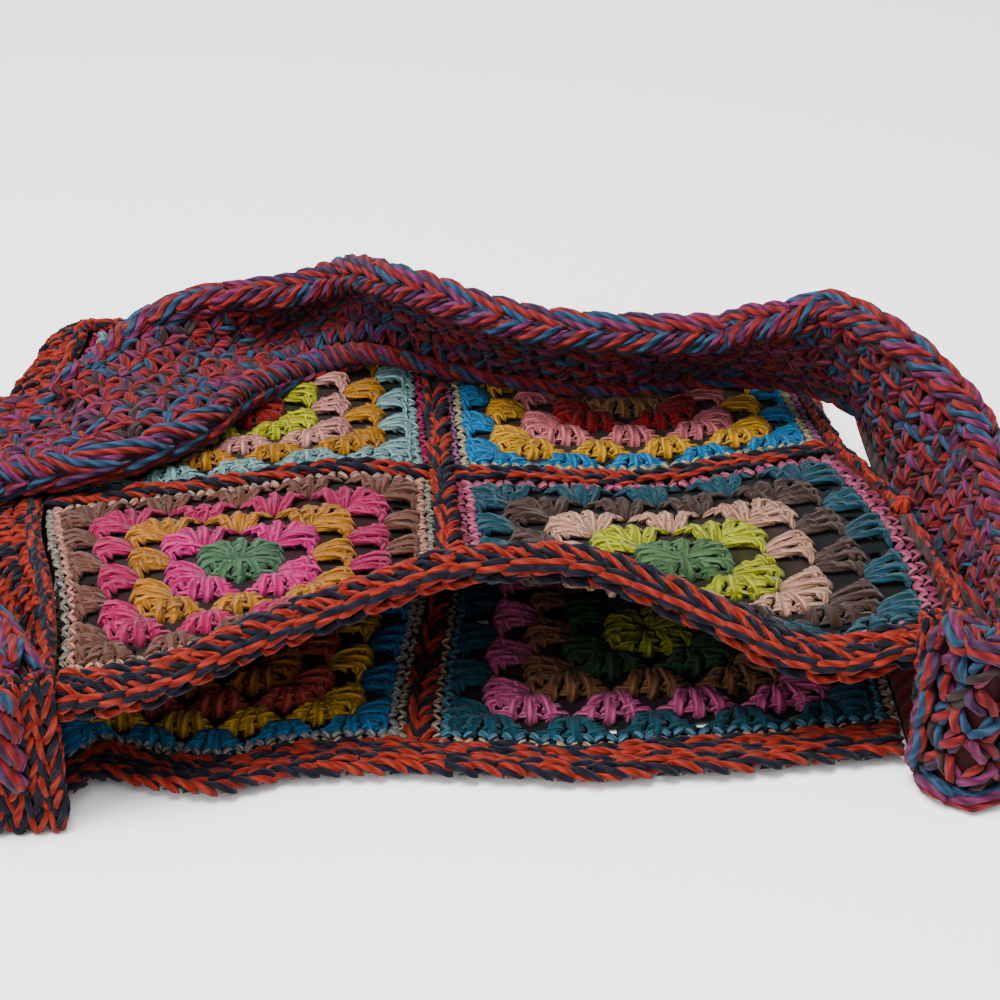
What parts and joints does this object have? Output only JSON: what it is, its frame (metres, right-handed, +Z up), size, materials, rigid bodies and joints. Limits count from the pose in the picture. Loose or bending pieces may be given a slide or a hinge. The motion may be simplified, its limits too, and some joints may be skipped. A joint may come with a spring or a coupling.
{
  "type": "crocheted shoulder bag",
  "caption": "Crocheted shoulder bag of granny squares with a gusset, a banded open mouth and a wide shoulder strap, lying flat.",
  "frame": {"origin": "on the floor, on the flat underside of the back panel's long seam, under the crossing of the front panel's seams", "axes": "+X to the right along the mouth, +Y from the mouth to the closed end, +Z up from the floor"},
  "size_m": [0.4646, 0.3411, 0.1029],
  "materials": {
    "coral_navy_yarn": "matte",
    "strap_yarn": "matte",
    "brown_yarn": "matte",
    "teal_yarn": "matte",
    "aqua_yarn": "matte",
    "blue_yarn": "matte"
  },
  "bodies": {
    "root": {"front_square_near_left": "brown_yarn", "front_square_near_right": "teal_yarn", "front_square_far_left": "aqua_yarn", "front_square_far_right": "blue_yarn", "back_square_near_left": "blue_yarn", "back_square_near_right": "teal_yarn", "back_square_far_left": "aqua_yarn", "back_square_far_right": "brown_yarn", "front_seam_long": "coral_navy_yarn", "front_seam_left": "coral_navy_yarn", "front_seam_right": "coral_navy_yarn", "back_seam_long": "coral_navy_yarn", "back_seam_left": "coral_navy_yarn", "back_seam_right": "coral_navy_yarn", "mouth_band_front": "coral_navy_yarn", "mouth_band_back": "coral_navy_yarn", "gusset": "coral_navy_yarn", "strap": "strap_yarn", "strap_lashing_left": "coral_navy_yarn", "strap_lashing_right": "coral_navy_yarn"}
  },
  "joints": []
}
